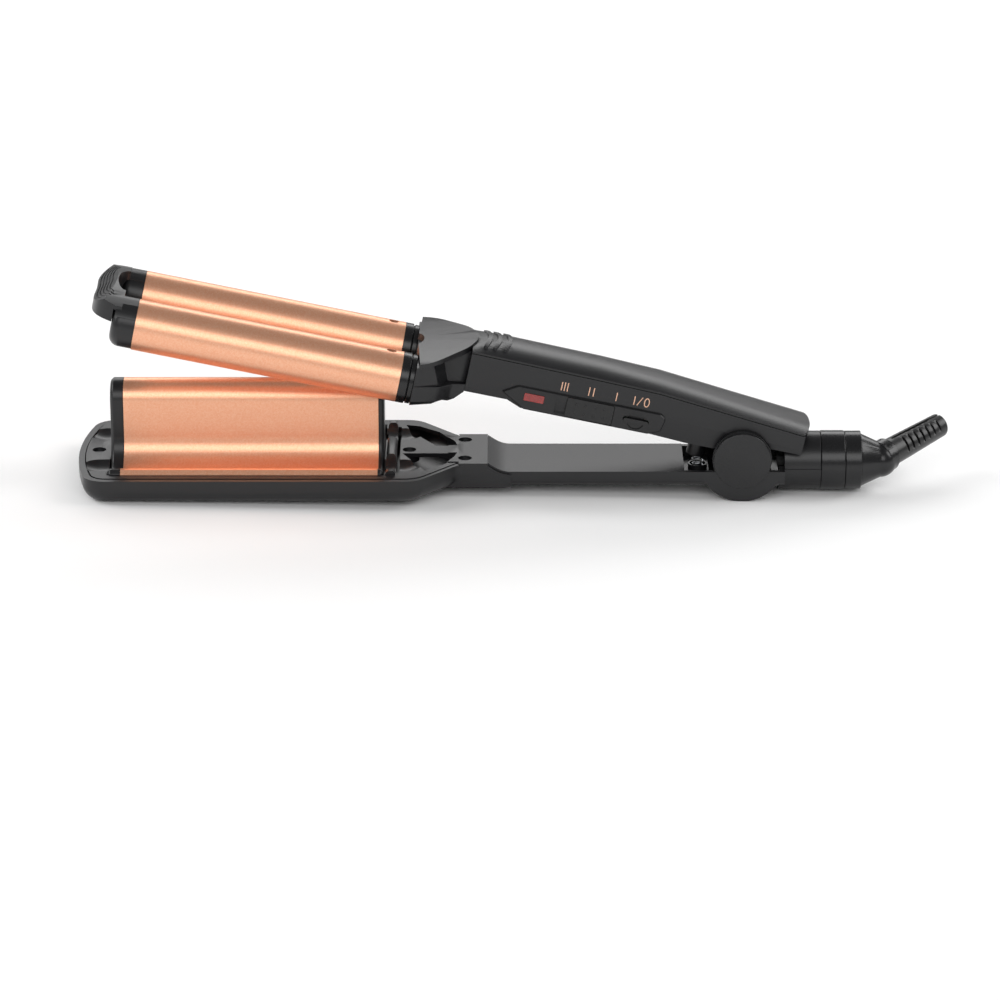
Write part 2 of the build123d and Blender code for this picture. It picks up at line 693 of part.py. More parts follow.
with BuildPart() as shield_plate:
    with BuildSketch(Plane.XY.offset(5)):
        with BuildLine():
            far_side = shield[1:] + [(x, -y) for x, y in reversed(shield[1:-1])]
            Spline(*far_side)
            Polyline((shield[1][0], -shield[1][1]), (shield[0][0], -shield[0][1]), shield[0], shield[1])
        make_face()
        with Locations((-150.4, 0)):
            Ellipse(5.0, 8.6, mode=Mode.SUBTRACT)
    extrude(amount=40)
    add(shield_slab(0, shield_t).part, mode=Mode.INTERSECT)


def yoke_plan(front_y, facet_x, facet_y, waist_x, waist_y, neck_y):
    """Plan of the yoke at one height: a facet behind the collars, a waist, then the handle's width."""
    half = [(head_x0, front_y), (facet_x, facet_y), (waist_x, waist_y), (handle_x0 - 0.1, neck_y)]
    with BuildSketch() as plan:
        Polygon(*[(x, -y) for x, y in half], *reversed(half), align=None)
    return plan.sketch


with BuildPart() as head_shell:
    with BuildSketch(Plane.XY.offset(head_seam)):
        add(yoke_plan(32.6, -136.2, 25.0, -132.5, 15.5, 12.6))
    with BuildSketch(Plane.XY.offset(cover_room)):
        add(yoke_plan(32.9, -142.8, 29.0, -138.5, 14.0, 11.6))
    loft(ruled=True)
    add(shield_slab(-30, shield_t + 30.05).part, mode=Mode.SUBTRACT)
    with BuildSketch(Plane.XY.offset(head_seam - 1)):
        with BuildLine():
            Polyline((yoke_room_x, -24), (-139.0, -14.0), (-130.0, -11.0), (-130.0, 11.0), (-139.0, 14.0),
                     (yoke_room_x, 24), close=True)
        make_face()
    extrude(amount=30, mode=Mode.SUBTRACT)
    with BuildSketch(across(head_x0 - 1)):
        with Locations((-barrel_y, barrel_z), (barrel_y, barrel_z)):
            Circle(5)
    extrude(amount=6, mode=Mode.SUBTRACT)
    with BuildSketch(across(-135)):
        with Locations((0, 12.6)):
            RectangleRounded(18, 6.4, 2)
    extrude(amount=14, mode=Mode.SUBTRACT)
keep(head_shell, "head_shell", upper_pose)

with BuildPart() as head_base:
    with BuildSketch(Plane.XY.offset(head_seam - 0.05)):
        add(yoke_plan(33.0, -136.0, 26.0, -130.5, 18.4, 15.4))
    with BuildSketch(Plane.XY.offset(head_bottom + 2.2)):
        add(yoke_plan(32.8, -136.4, 25.6, -131.0, 18.0, 15.2))
    loft(ruled=True)
    with BuildSketch(Plane.XY.offset(head_bottom + 2.2)):
        add(yoke_plan(32.8, -136.4, 25.6, -131.0, 18.0, 15.2))
    with BuildSketch(Plane.XY.offset(head_bottom)):
        add(yoke_plan(30.6, -138.0, 23.2, -133.5, 15.5, 12.8))
    loft(ruled=True)
    with BuildSketch(side()):
        with BuildLine():
            Polyline((-131.0, head_bottom - 0.1), (handle_x0, 5.2), (handle_x0, head_bottom - 1),
                     (-131.0, head_bottom - 1), close=True)
        make_face()
    extrude(amount=40, both=True, mode=Mode.SUBTRACT)
    with BuildSketch(Plane.XY.offset(head_bottom + 3.6)):
        with BuildLine():
            Polyline((yoke_room_x, -24), (-138.0, -15.0), (-132.0, -11.0), (-132.0, 11.0), (-138.0, 15.0),
                     (yoke_room_x, 24), close=True)
        make_face()
    extrude(amount=30, mode=Mode.SUBTRACT)
    with BuildSketch(across(head_x0 - 1)):
        with Locations((-barrel_y, barrel_z), (barrel_y, barrel_z)):
            Circle(5)
    extrude(amount=6, mode=Mode.SUBTRACT)
keep(head_base, "head_base", upper_pose)


def handle_profile(shrink, low_cut):
    """Side outline of the upper handle below its seam; low_cut opens it at the hinge and tail."""
    with BuildSketch() as outline:
        with BuildLine():
            Polyline((handle_x0 + shrink, belly[0][1] + shrink), (belly[1][0], belly[1][1] + shrink),
                     (belly[2][0], belly[2][1] + shrink), (belly[3][0], belly[3][1] + shrink),
                     (belly[4][0], belly[4][1] + shrink), (-12.0, 1.3 + shrink), (-8, -9 - low_cut),
                     (8, -9 - low_cut), (11, 6.5 - low_cut), (handle_x1 - shrink, 6.5 - low_cut),
                     (handle_x1 - shrink, seam[3][1]), seam[2], seam[1], (handle_x0 + shrink, seam[0][1]),
                     close=True)
        make_face()
    return outline.sketch


with BuildPart() as handle_shell:
    with BuildSketch(side()):
        add(handle_profile(0, 0))
    extrude(amount=handle_half, both=True)
    long_edges = handle_shell.edges().filter_by(lambda e: e.center().Z < 6 and e.center().X < -20
                                                and abs(e.center().Y) > handle_half - 0.01 and e.length > 6)
    fillet(long_edges.filter_by(lambda e: e.length > 15), radius=2.0)
    # the sides lean in below the crease
    for sign in (-1, 1):
        for (x0, z0), (x1, z1) in zip(side_crease, side_crease[1:]):
            for x, z in ((x0, z0), (x1, z1)):
                with BuildSketch(across(x)):
                    Polygon((sign * handle_half, z), (sign * (handle_half + 2), z),
                            (sign * (handle_half + 2), -14),
                            (sign * (handle_half - crease_inset * (z + 14) / 8.6), -14), align=None)
            loft(ruled=True, mode=Mode.SUBTRACT)
    with BuildSketch(side()):
        add(handle_profile(handle_wall, 12))
    extrude(amount=handle_half - handle_wall - crease_room, both=True, mode=Mode.SUBTRACT)
    with BuildSketch(side()):
        with BuildLine():
            Polyline((handle_x0 + handle_wall, 10), (-42, 12), (handle_x1 - handle_wall, 10),
                     (handle_x1 - handle_wall, 30), (handle_x0 + handle_wall, 30), close=True)
        make_face()
    extrude(amount=handle_half - handle_wall, both=True, mode=Mode.SUBTRACT)
    with BuildSketch(side()):
        Circle(pin_r + 0.06)
    extrude(amount=40, both=True, mode=Mode.SUBTRACT)
    with BuildSketch(side(-handle_half + handle_wall / 2)):
        with Locations(((slider_x0 - slider_travel + slider_x1) / 2, 7.7)):
            Rectangle(10.4, 3.2)
        with Locations((button_x, button_z)):
            Rectangle(11.9, 2.2)
        with Locations((lens_x, lens_z)):
            Rectangle(5.0, 3.4)
    extrude(amount=3, both=True, mode=Mode.SUBTRACT)
    with BuildSketch(across(handle_x0 - 1)):
        with Locations((0, 12)):
            RectangleRounded(18, 8, 2)
    extrude(amount=5, mode=Mode.SUBTRACT)
    # arch over the tail tube, and the seat of the spring cup
    with BuildSketch(across(handle_x1 - handle_wall - 1)):
        with Locations((0, 0.5)):
            Circle(handle_half - handle_wall)
    extrude(amount=5, mode=Mode.SUBTRACT)
    with BuildSketch(Plane.XY):
        with Locations((spring_x, 0)):
            Circle(4.22)
    extrude(amount=5, mode=Mode.SUBTRACT)
keep(handle_shell, "handle_shell", upper_pose)

def crown_section(x, shrink):
    """Arched section of the top cover at x, thinned by shrink."""
    low = line_at(seam, x) + seam_gap
    high = line_at(crown, x) - shrink
    half = handle_half - shrink
    with BuildSketch() as section:
        with BuildLine():
            rise = low + 0.55 * (high - low)
            Polyline((-half, low), (half, low), (half, low + 0.8))
            Spline((half, low + 0.8), (half * 0.62, rise + 0.9), (0, high), (-half * 0.62, rise + 0.9),
                   (-half, low + 0.8))
            Line((-half, low + 0.8), (-half, low))
        make_face()
    return section.sketch


with BuildPart() as handle_cover:
    for x in cover_stations:
        with BuildSketch(across(x)):
            add(crown_section(x, 0))
    loft(ruled=True)
    for x in cover_stations[1:-1]:
        with BuildSketch(across(x)):
            add(crown_section(x, 1.8))
    loft(ruled=True, mode=Mode.SUBTRACT)
    # lip that locates the cover inside the handle's walls
    for sign in (-1, 1):
        for x0, x1 in zip(cover_stations[1:-2], cover_stations[2:-1]):
            for x in (x0, x1):
                with BuildSketch(across(x)):
                    low = line_at(seam, x)
                    outer = handle_half - handle_wall - 0.02
                    Polygon((sign * outer, low - 1.6), (sign * outer, low + 1.2),
                            (sign * (outer - 1.3), low + 1.2),
                            (sign * (outer - 1.3), low - 1.6), align=None)
            loft(ruled=True)
    # rounded end
    with BuildSketch(Plane.XY.offset(5)):
        with BuildLine():
            bow = ThreePointArc((handle_x1 - 0.4, -handle_half), (cover_x1, 0),
                                (handle_x1 - 0.4, handle_half))
            Polyline(bow @ 1, (handle_x1 + 8, handle_half), (handle_x1 + 8, -handle_half), bow @ 0)
        make_face()
    extrude(amount=40, mode=Mode.SUBTRACT)
    # grip ribs, bowed towards the hinge
    with BuildPart(mode=Mode.PRIVATE) as grown:
        for x in (-124.0, -119.0, -104.0):
            with BuildSketch(across(x)):
                add(crown_section(x, -rib_proud))
        loft(ruled=True)
    with BuildPart(mode=Mode.PRIVATE) as bands:
        for x in rib_x:
            with BuildSketch(Plane.XY.offset(24.2)):
                with BuildLine():
                    half = rib_width / 2
                    ThreePointArc((x - rib_bow - half, -rib_reach), (x - half, 0),
                                  (x - rib_bow - half, rib_reach))
                    ThreePointArc((x - rib_bow - half, rib_reach), (x - rib_bow, rib_reach + half),
                                  (x - rib_bow + half, rib_reach))
                    ThreePointArc((x - rib_bow + half, rib_reach), (x + half, 0),
                                  (x - rib_bow + half, -rib_reach))
                    ThreePointArc((x - rib_bow + half, -rib_reach), (x - rib_bow, -rib_reach - half),
                                  (x - rib_bow - half, -rib_reach))
                make_face()
            extrude(amount=10)
        add(grown.part, mode=Mode.INTERSECT)
    add(bands.part)
    add(shield_plate.part)
keep(handle_cover, "handle_cover", upper_pose)


def panel_outline():
    """Side outline of the control panel, pointed towards the jaws."""
    with BuildSketch() as outline:
        with BuildLine():
            Polyline((-108.4, 9.0), (-102.0, 12.9), (-39.0, 12.7), (-36.4, 10.8), (-37.6, 5.0),
                     (-43.0, 2.8),
                     (-98.0, 3.0), close=True)
        make_face()
        corners = outline.vertices()
        fillet(corners.filter_by(lambda v: v.X > -104), radius=1.6)
    return outline.sketch


slot_mid = (slider_x0 - slider_travel + slider_x1) / 2
slot_len = slider_x1 - slider_x0 + slider_travel + 0.4
with BuildPart() as control_panel:
    with BuildSketch(side(-handle_half)):
        add(panel_outline())
    extrude(amount=panel_proud)
    chamfer(control_panel.faces().sort_by(Axis.Y)[0].edges(), length=0.35)
    with BuildSketch(side(-handle_half)):
        with Locations((slot_mid, 7.8)):
            RectangleRounded(slot_len, 9.4, 1.0)
        with Locations((button_x, button_z)):
            Circle(3.9)
            SlotOverall(11.5, 2.3)
        with Locations((lens_x, lens_z)):
            RectangleRounded(9.0, 3.6, 0.6)
    extrude(amount=5, mode=Mode.SUBTRACT)
keep(control_panel, "control_panel", upper_pose)

with BuildPart() as panel_tray:
    with BuildSketch(side(-handle_half + handle_wall + crease_room + 0.1)):
        with Locations((slot_mid, 9.2)):
            Rectangle(slot_len + 4, 8.8)
    extrude(amount=-1.2)
    with BuildSketch(side(0)):
        with Locations((slot_mid, 7.7)):
            Rectangle(slot_len - 4, 3.4)
    extrude(amount=20, both=True, mode=Mode.SUBTRACT)
keep(panel_tray, "slider_guide", upper_pose)

with BuildPart() as temperature_slider:
    with BuildSketch(side(-handle_half - 0.15)):
        with Locations(((slider_x0 + slider_x1) / 2, 7.8)):
            RectangleRounded(slider_x1 - slider_x0, 8.8, 0.9)
    extrude(amount=0.9)
    with BuildSketch(side(-handle_half - 0.2)):
        with Locations(((slider_x0 + slider_x1) / 2, 7.7)):
            Rectangle(5.0, 2.8)
    extrude(amount=-4.4)
keep(temperature_slider, "temperature_slider", upper_pose)

with BuildPart() as power_button:
    with BuildSketch(side(-handle_half - panel_proud - 1.4)):
        with Locations((button_x, button_z)):
            SlotOverall(11.0, 1.8)
    extrude(amount=-0.8)
    with BuildSketch(side(-handle_half - panel_proud - 0.7)):
        with Locations((button_x, button_z)):
            Rectangle(6.0, 1.6)
    extrude(amount=-4.4)
keep(power_button, "power_button", upper_pose)

with BuildPart() as button_dish:
    with BuildSketch(side(-handle_half)):
        with Locations((button_x, button_z)):
            Circle(3.85)
            Rectangle(6.3, 1.9, mode=Mode.SUBTRACT)
    extrude(amount=0.5)
keep(button_dish, "button_dish", upper_pose)

with BuildPart() as indicator_lens:
    with BuildSketch(side(-handle_half)):
        with Locations((lens_x, lens_z)):
            RectangleRounded(8.8, 3.4, 0.5)
    extrude(amount=panel_proud + 0.2)
    with BuildSketch(side(-handle_half)):
        with Locations((lens_x, lens_z)):
            Rectangle(4.8, 3.2)
    extrude(amount=-handle_wall)
keep(indicator_lens, "indicator_lens", upper_pose)

board_y = -9.5
circuit_board = block(-98, -34, board_y, board_y + 1.6, 5.2, 17.0)
keep(circuit_board, "circuit_board", upper_pose)
indicator_lamp = block(lens_x - 1.5, lens_x + 1.5, board_y - 3.4, board_y, lens_z - 1.5, lens_z + 1.5, 0.5)
keep(indicator_lamp, "indicator_lamp", upper_pose)
with BuildPart() as slide_switch:
    add(block(slot_mid - 6.5, slot_mid + 6.5, board_y - 1.2, board_y, 5.0, 10.6).part)
keep(slide_switch, "slide_switch", upper_pose)
power_switch = block(button_x - 3, button_x + 3, board_y - 1.7, board_y, button_z - 3, button_z + 3)
keep(power_switch, "power_switch", upper_pose)
transformer = block(-100, -84, board_y + 1.6, board_y + 11.0, 6.0, 15.5, 1.0)
keep(transformer, "power_capacitor", upper_pose)

with BuildPart() as upper_spring_cup:
    with BuildSketch(Plane.XY.offset(-7.1)):
        with Locations((spring_x, 0)):
            Circle(4.2)
    extrude(amount=10.3)
    with BuildSketch(Plane.XY.offset(-7.1)):
        with Locations((spring_x, 0)):
            Circle(3.8)
    extrude(amount=9.3, mode=Mode.SUBTRACT)
keep(upper_spring_cup, "upper_spring_cup", upper_pose)

for name, sign in (("hinge_bush_left", -1), ("hinge_bush_right", 1)):
    inner = handle_half - handle_wall - crease_room
    with BuildPart() as hinge_bush:
        with BuildSketch(side(sign * inner)):
            Circle(4.6)
            Circle(pin_r + 0.05, mode=Mode.SUBTRACT)
        extrude(amount=sign * 6.0)
    keep(hinge_bush, name, upper_pose)

# rest pose and export

boxes = [solid.bounding_box() for name, solid in pieces]
low = Vector(*(min(getattr(box.min, axis) for box in boxes) for axis in "XYZ"))
high = Vector(*(max(getattr(box.max, axis) for box in boxes) for axis in "XYZ"))
to_floor = Location((-(low.X + high.X) / 2, -(low.Y + high.Y) / 2, -low.Z))
os.makedirs("parts", exist_ok=True)
for name, solid in pieces:
    placed = solid.moved(to_floor)
    placed.label = name
    export_step(placed, f"parts/{name}.step")

hinge = to_floor * lower_pose * Location((0, 0, 0))
print("pieces", len(pieces), "size", high - low, "hinge", hinge.position)
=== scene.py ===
import json
import math

import bmesh
import bpy
from mathutils import Matrix, Vector

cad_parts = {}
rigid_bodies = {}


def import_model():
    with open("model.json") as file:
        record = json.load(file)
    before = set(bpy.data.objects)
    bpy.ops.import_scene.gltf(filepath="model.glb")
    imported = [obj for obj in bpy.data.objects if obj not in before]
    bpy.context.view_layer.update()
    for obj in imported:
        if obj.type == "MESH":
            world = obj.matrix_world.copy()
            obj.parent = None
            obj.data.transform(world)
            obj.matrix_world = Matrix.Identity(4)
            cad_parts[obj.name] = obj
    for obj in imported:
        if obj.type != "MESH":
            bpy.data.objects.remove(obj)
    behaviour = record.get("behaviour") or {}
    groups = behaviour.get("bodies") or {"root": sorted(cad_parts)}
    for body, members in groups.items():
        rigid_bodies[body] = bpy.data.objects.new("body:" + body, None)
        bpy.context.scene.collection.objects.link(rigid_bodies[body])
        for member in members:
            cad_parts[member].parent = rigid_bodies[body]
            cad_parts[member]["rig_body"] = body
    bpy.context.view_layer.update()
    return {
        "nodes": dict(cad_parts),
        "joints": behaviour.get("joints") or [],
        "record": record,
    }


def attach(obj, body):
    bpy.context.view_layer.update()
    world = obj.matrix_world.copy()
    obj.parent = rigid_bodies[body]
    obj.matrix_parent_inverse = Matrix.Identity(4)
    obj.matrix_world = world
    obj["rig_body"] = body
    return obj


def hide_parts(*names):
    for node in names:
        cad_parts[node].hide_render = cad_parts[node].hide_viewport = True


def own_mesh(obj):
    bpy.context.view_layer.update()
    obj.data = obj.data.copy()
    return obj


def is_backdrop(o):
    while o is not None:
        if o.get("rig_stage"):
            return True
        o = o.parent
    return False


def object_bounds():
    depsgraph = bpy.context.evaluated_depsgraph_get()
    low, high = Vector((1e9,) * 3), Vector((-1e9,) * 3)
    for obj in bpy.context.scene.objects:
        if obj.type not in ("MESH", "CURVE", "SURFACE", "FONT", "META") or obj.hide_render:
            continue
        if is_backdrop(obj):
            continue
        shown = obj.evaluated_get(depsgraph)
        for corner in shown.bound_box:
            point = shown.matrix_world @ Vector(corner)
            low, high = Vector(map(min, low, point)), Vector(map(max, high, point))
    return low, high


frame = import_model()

mm = 0.001
slots = {part["node"]: part["material_slot"] for part in frame["record"]["subparts"]}

# the two frames that pieces are drawn in: hinge axis on Y through the origin, jaws towards -X.
# the upper one is drawn closed, so it is turned open by the hinge's range.
joints = {joint["name"]: joint for joint in frame["joints"]}
hingePoint = Vector(joints["jaw_hinge"]["pos_m"])
openTurn = math.radians(max(joints["jaw_hinge"]["range_deg"]))
tailAxis = Vector(joints["cord_turn"]["axis"])
restTurn = -math.atan2(tailAxis.z, tailAxis.x)
lowerPlace = Matrix.Translation(hingePoint) @ Matrix.Rotation(restTurn, 4, "Y")
upperPlace = lowerPlace @ Matrix.Rotation(openTurn, 4, "Y")


# materials
def linearColour(hexText):   # sRGB hex to linear RGBA
    parts = [int(hexText[i:i + 2], 16) / 255 for i in (1, 3, 5)]
    return [c / 12.92 if c <= 0.04045 else ((c + 0.055) / 1.055) ** 2.4 for c in parts] + [1.0]


def addNode(tree, kind, settings=(), links=()):
    # settings: (input or attribute, value); links: (input, other node, its output)
    node = tree.nodes.new(kind)
    for key, value in settings:
        if hasattr(node, str(key)):
            setattr(node, key, value)
        else:
            node.inputs[key].default_value = value
    for key, other, output in links:
        tree.links.new(other.outputs[output], node.inputs[key])
    return node


def newMaterial(name):
    material = bpy.data.materials.new(name)
    material.use_nodes = True
    tree = material.node_tree
    shader = tree.nodes["Principled BSDF"]
    place = addNode(tree, "ShaderNodeTexCoord")
    return material, tree, shader, place


def grainNode(tree, place, sizeMm, detail=2.0, roughness=0.5):
    # noise whose grains are about sizeMm across on the real piece
    settings = [("Scale", 1 / (sizeMm * mm)), ("Detail", detail), ("Roughness", roughness)]
    return addNode(tree, "ShaderNodeTexNoise", settings, [("Vector", place, "Object")])


def tintBetween(tree, shader, source, output, dark, light):
    tint = addNode(tree, "ShaderNodeMix", [("data_type", "RGBA")], [("Factor", source, output)])
    tint.inputs["A"].default_value = linearColour(dark)
    tint.inputs["B"].default_value = linearColour(light)
    tree.links.new(tint.outputs["Result"], shader.inputs["Base Color"])


def glossBetween(tree, shader, source, low, high):
    gloss = addNode(tree, "ShaderNodeMapRange", [("To Min", low), ("To Max", high)], [("Value", source, "Fac")])
    tree.links.new(gloss.outputs["Result"], shader.inputs["Roughness"])


def bumpFrom(tree, shader, source, strength, depthMm):
    settings = [("Strength", strength), ("Distance", depthMm * mm)]
    bump = addNode(tree, "ShaderNodeBump", settings, [("Height", source, "Fac")])
    tree.links.new(bump.outputs["Normal"], shader.inputs["Normal"])


def mouldedPlastic(name, dark, light, roughness, gritMm, gritDepthMm):
    # ABS or nylon from an eroded mould: fine grit in the gloss, faint cloudiness in the colour
    material, tree, shader, place = newMaterial(name)
    grit = grainNode(tree, place, gritMm, 3.0, 0.6)
    cloud = grainNode(tree, place, 18)
    tintBetween(tree, shader, cloud, "Fac", dark, light)
    glossBetween(tree, shader, grit, roughness - 0.05, roughness + 0.07)
    bumpFrom(tree, shader, grit, 0.5, gritDepthMm)
    shader.inputs["IOR"].default_value = 1.5
    return material


def roseGoldCoating():
    # ceramic-titanium coating on drawn aluminium: satin rose gold with fine pearl flake
    material, tree, shader, place = newMaterial("rose gold ceramic coating")
    flakeMm = 0.55
    flake = addNode(tree, "ShaderNodeTexVoronoi", [("Scale", 1 / (flakeMm * mm))],
                    [("Vector", place, "Object")])
    cloud = grainNode(tree, place, 1.3, 4.0)
    tintBetween(tree, shader, flake, "Color", "#F3AE8A", "#F9C19F")
    glossBetween(tree, shader, cloud, 0.33, 0.41)
    bumpFrom(tree, shader, cloud, 0.12, 0.02)
    shader.inputs["Metallic"].default_value = 0.85
    return material


def brushedMetal(name, colour, roughness):
    # zinc-plated or extruded metal: fine lines along the piece
    material, tree, shader, place = newMaterial(name)
    linesPerMetre = (60, 1400, 1400)
    stretch = addNode(tree, "ShaderNodeMapping", [("Scale", linesPerMetre)], [("Vector", place, "Object")])
    lines = addNode(tree, "ShaderNodeTexNoise", [("Scale", 1.0), ("Detail", 3.0)],
                    [("Vector", stretch, "Vector")])
    glossBetween(tree, shader, lines, roughness - 0.07, roughness + 0.1)
    shader.inputs["Base Color"].default_value = linearColour(colour)
    shader.inputs["Metallic"].default_value = 1.0
    return material


def redLensPlastic():
    # clear red polycarbonate over a lamp: glossy, a little deeper in its middle
    material, tree, shader, place = newMaterial("red polycarbonate lens")
    swirl = grainNode(tree, place, 2.5)
    tintBetween(tree, shader, swirl, "Fac", "#6A0D0A", "#A8201A")
    shader.inputs["Roughness"].default_value = 0.12
    shader.inputs["IOR"].default_value = 1.58
    shader.inputs["Coat Weight"].default_value = 0.5
    return material


def printedInk(name, colour):
    # pad-printed ink: matt, with the faint mottle of a thin film
    material, tree, shader, place = newMaterial(name)
    mottle = grainNode(tree, place, 0.8)
    glossBetween(tree, shader, mottle, 0.45, 0.6)
    shader.inputs["Base Color"].default_value = linearColour(colour)
    return material


finishes = {
    "rose_gold_aluminium": roseGoldCoating(),
    "charcoal_plastic": mouldedPlastic("charcoal eroded ABS", "#121214", "#171719", 0.33, 0.35, 0.02),
    "satin_plastic": mouldedPlastic("satin black ABS", "#0E0E10", "#131315", 0.25, 0.3, 0.01),
    "panel_plastic": mouldedPlastic("black panel ABS", "#0B0B0D", "#101012", 0.32, 0.3, 0.012),
    "bare_aluminium": brushedMetal("extruded aluminium", "#C9CBCE", 0.3),
    "steel": brushedMetal("zinc plated steel", "#9B9DA0", 0.28),
    "heater_ceramic": mouldedPlastic("alumina ceramic", "#DEDAD0", "#E8E5DC", 0.7, 0.2, 0.01),
    "red_lens": redLensPlastic(),
    "black_rubber": mouldedPlastic("black soft PVC", "#0F0F10", "#151516", 0.33, 0.25, 0.015),
    "circuit_board": mouldedPlastic("green solder mask", "#0E4A26", "#146033", 0.3, 0.6, 0.005),
    "electrical_parts": mouldedPlastic("black moulding compound", "#1B1B1C", "#222223", 0.5, 0.3, 0.01),
}
peachInk = printedInk("peach pad-printed ink", "#E8B79A")
print("materials ready", len(finishes))


# mesh helpers
def pieceFrom(bm, name, body, slotName, place=None, bevel=0.0, angle=30, segments=3, smooth=True):
    # finishes a bmesh as a piece: placed, smooth, with narrow rounded edges
    if place is not None:
        bm.transform(place)
    mesh = bpy.data.meshes.new(name)
    bm.to_mesh(mesh)
    bm.free()
    piece = bpy.data.objects.new(name, mesh)
    bpy.context.scene.collection.objects.link(piece)
    mesh.materials.append(finishes[slotName] if slotName in finishes else peachInk)
    if smooth:
        mesh.shade_smooth()
        mesh.set_sharp_from_angle(angle=math.radians(angle))
    if bevel:
        edge = piece.modifiers.new("edges", "BEVEL")
        edge.width = bevel * mm
        edge.segments = segments
        edge.limit_method = "ANGLE"
        edge.angle_limit = math.radians(angle)
        edge.harden_normals = True
        edge.miter_outer = "MITER_ARC"
    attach(piece, body)
    return piece


def roundedCopy(node, bevel, angle=28, segments=3):
    # a CAD node's own shape, with its doubles merged, flat faces joined and edges rounded
    cad = frame["nodes"][node]
    bm = bmesh.new()
    bm.from_mesh(cad.data)
    bmesh.ops.remove_doubles(bm, verts=bm.verts, dist=0.002 * mm)
    bmesh.ops.dissolve_limit(bm, angle_limit=math.radians(0.4), verts=bm.verts, edges=bm.edges)
    piece = pieceFrom(bm, node + "_finished", cad["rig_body"], slots[node], None, bevel, angle, segments)
    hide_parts(node)
    return piece


for node, cad in frame["nodes"].items():
    cad.data.materials.clear()
    cad.data.materials.append(finishes[slots[node]])

edgeRounds = {
    "lower_shell": 0.4, "jaw_deck": 0.3, "arm_cover": 0.0, "tail_cover": 0.2, "tail_collar": 0.3,
    "lock_ring": 0.5, "cord_swivel": 0.0, "hinge_cap_left": 0.0, "hinge_cap_right": 0.0,
    "plate_cap_tip": 0.3, "plate_cap_rear": 0.3, "wave_plate": 0.15,
    "front_barrel": 0.1, "rear_barrel": 0.1, "front_nose": 0.0, "rear_nose": 0.0,
    "front_collar": 0.25, "rear_collar": 0.25, "tip_bridge": 0.2,
    "head_base": 0.5, "head_shell": 0.25, "handle_shell": 0.3, "handle_cover": 0.4,
    "control_panel": 0.12, "temperature_slider": 0.12, "power_button": 0.2, "indicator_lens": 0.15,
    "strain_relief": 0.15,
}
for node, width in edgeRounds.items():
    roundedCopy(node, width)
print("rounded copies made", len(edgeRounds))

# the return spring closes up between its cups as the jaw shuts; here it is only a rounded copy with a mesh of
# its own
spring = roundedCopy("return_spring", 0.0)
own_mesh(spring)
print("spring made")


# marks on the handle's control side
marks = {
    "height": 3.9, "middle": 16.4, "stroke": 0.42, "film": 0.03, "sideY": -15.5,
    "three": -82.3, "two": -70.5, "one": -59.4, "offOn": -48.6, "threeGap": 1.3, "twoGap": 1.0,
    "onBar": -2.9, "slash": (-1.5, 0.5), "slashStroke": 0.8, "ring": 2.6, "ringHalf": (1.25, 2.1),
}


def flatBar(bm, x0, z0, x1, z1, width):
    # one printed stroke from (x0, z0) to (x1, z1) on the handle's side
    length = math.hypot(x1 - x0, z1 - z0)
    turn = Matrix.Rotation(-math.atan2(z1 - z0, x1 - x0), 4, "Y")
    middle = Vector(((x0 + x1) / 2, marks["sideY"] - marks["film"] / 2, (z0 + z1) / 2)) * mm
    size = Matrix.Diagonal((length * mm, marks["film"] * mm, width * mm, 1))
    bmesh.ops.create_cube(bm, size=1, matrix=Matrix.Translation(middle) @ turn @ size)


bm = bmesh.new()
low = marks["middle"] - marks["height"] / 2
high = marks["middle"] + marks["height"] / 2
strokes = [marks["three"] + step * marks["threeGap"] for step in (-1, 0, 1)]
strokes += [marks["two"] + step * marks["twoGap"] for step in (-1, 1)]
for x in strokes + [marks["one"], marks["offOn"] + marks["onBar"]]:
    flatBar(bm, x, low, x, high, marks["stroke"])
slashLow, slashHigh = (marks["offOn"] + step for step in marks["slash"])
flatBar(bm, slashLow, low, slashHigh, high, marks["stroke"] * marks["slashStroke"])
pieceFrom(bm, "printed_marks", "upper_jaw", "ink", upperPlace, smooth=False)

# the open ring of the off mark
bm = bmesh.new()
halfWidth, halfHeight = marks["ringHalf"]
ringAt = Vector((marks["offOn"] + marks["ring"], marks["sideY"] - marks["film"], marks["middle"])) * mm
upright = Matrix.Translation(ringAt) @ Matrix.Rotation(math.radians(90), 4, "X")
outline = upright @ Matrix.Diagonal((halfWidth * mm, halfHeight * mm, 1, 1))
thinner = Matrix.Diagonal((1 - marks["stroke"] / halfWidth, 1 - marks["stroke"] / halfHeight, 1, 1))
bmesh.ops.create_circle(bm, segments=40, radius=1, matrix=outline)
bmesh.ops.create_circle(bm, segments=40, radius=1, matrix=outline @ thinner)
bmesh.ops.bridge_loops(bm, edges=bm.edges[:])
pushed = bmesh.ops.extrude_face_region(bm, geom=bm.faces[:])
moved = [v for v in pushed["geom"] if isinstance(v, bmesh.types.BMVert)]
bmesh.ops.translate(bm, vec=(0, marks["film"] * mm, 0), verts=moved)
bmesh.ops.recalc_face_normals(bm, faces=bm.faces)
pieceFrom(bm, "printed_ring", "upper_jaw", "ink", upperPlace, smooth=False)

sliderPad = {
    "x": -69.65, "z": 7.8, "face": -16.55, "columns": (-6.3, -2.1, 2.1, 6.3), "rows": (-2.0, 2.0), "dot": 0.55,
}
bm = bmesh.new()
for column in sliderPad["columns"]:
    for row in sliderPad["rows"]:
        spot = Vector((sliderPad["x"] + column, sliderPad["face"], sliderPad["z"] + row)) * mm
        bmesh.ops.create_uvsphere(bm, u_segments=16, v_segments=8, radius=sliderPad["dot"] * mm,
                                  matrix=Matrix.Translation(spot) @ Matrix.Diagonal((1, 0.5, 1, 1)))
pieceFrom(bm, "slider_dots", "slider", "black_rubber", upperPlace)
print("marks and dots made")


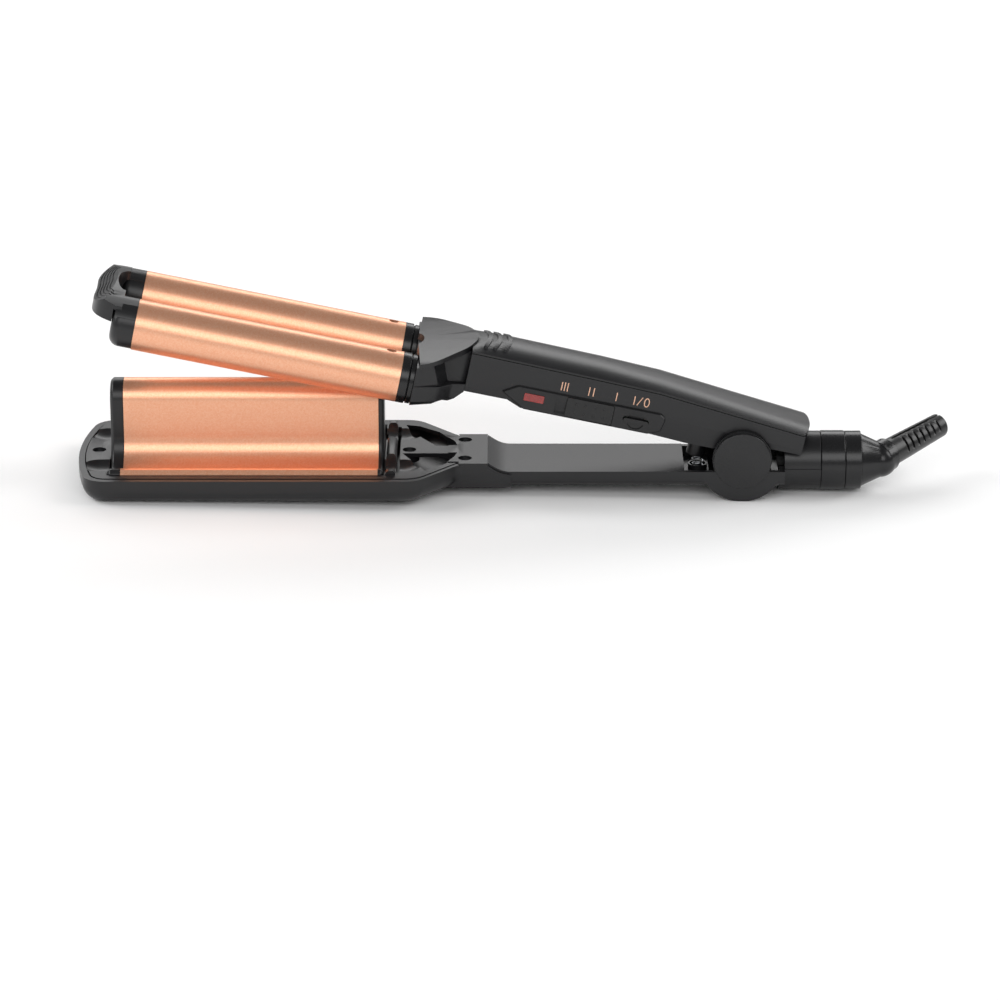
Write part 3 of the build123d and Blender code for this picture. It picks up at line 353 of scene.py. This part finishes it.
# floor, light, camera
studio = {
    "elevation": 20.3, "distance": 1.9, "pixelsPerMm": 2.27, "targetX": -105.3, "targetZ": -25.1,
    "floorSize": 6.0, "worldStrength": 0.22,
}
bm = bmesh.new()
bmesh.ops.create_grid(bm, x_segments=1, y_segments=1, size=studio["floorSize"])
floorMesh = bpy.data.meshes.new("floor")
bm.to_mesh(floorMesh)
bm.free()
floor = bpy.data.objects.new("floor", floorMesh)
bpy.context.scene.collection.objects.link(floor)
floorMaterial, tree, shader, place = newMaterial("matt white sweep")
shader.inputs["Base Color"].default_value = linearColour("#FFFFFF")
shader.inputs["Roughness"].default_value = 0.9
floorMesh.materials.append(floorMaterial)
floor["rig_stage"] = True


def softLight(name, place, width, height, watts):
    # a white softbox that faces the object
    light = bpy.data.lights.new(name, "AREA")
    light.shape = "RECTANGLE"
    light.size, light.size_y = width, height
    light.energy = watts
    lamp = bpy.data.objects.new(name, light)
    lamp.location = place
    lamp.rotation_euler = (-Vector(place)).to_track_quat("-Z", "Y").to_euler()
    bpy.context.scene.collection.objects.link(lamp)


# name, place, width, height, watts
lamps = [
    ("rear key", (0.0, 1.35, 0.85), 2.8, 0.55, 13.0),
    ("front bank", (-0.2, -1.6, 1.0), 2.8, 0.9, 19.0),
    ("left bank", (-1.9, 0.2, 1.3), 1.6, 1.2, 24.0),
    ("right bank", (1.9, 0.2, 1.3), 1.6, 1.2, 24.0),
]
for name, place, width, height, watts in lamps:
    softLight(name, place, width, height, watts)
world = bpy.data.worlds.new("dim studio")
world.use_nodes = True
world.node_tree.nodes["Background"].inputs["Color"].default_value = linearColour("#FFFFFF")
world.node_tree.nodes["Background"].inputs["Strength"].default_value = studio["worldStrength"]
bpy.context.scene.world = world

camera = bpy.data.cameras.new("camera")
cameraObject = bpy.data.objects.new("camera", camera)
bpy.context.scene.collection.objects.link(cameraObject)
target = lowerPlace @ Vector((studio["targetX"] * mm, 0, studio["targetZ"] * mm))
rise = math.radians(studio["elevation"])
back = Vector((0, -math.cos(rise), math.sin(rise)))
look = Matrix.Translation(target) @ Matrix.Rotation(restTurn, 4, "Y")
cameraObject.matrix_world = look @ Matrix.Translation(back * studio["distance"]) @ Matrix.Rotation(
    math.radians(90) - rise, 4, "X")
camera.sensor_width = 36
camera.lens = camera.sensor_width * studio["pixelsPerMm"] * studio["distance"] / mm / 1000
camera.dof.use_dof = False
camera.clip_end = 20
bpy.context.scene.camera = cameraObject
bpy.context.scene.view_settings.view_transform = "Standard"
print("camera lens", round(camera.lens, 1))

low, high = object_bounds()
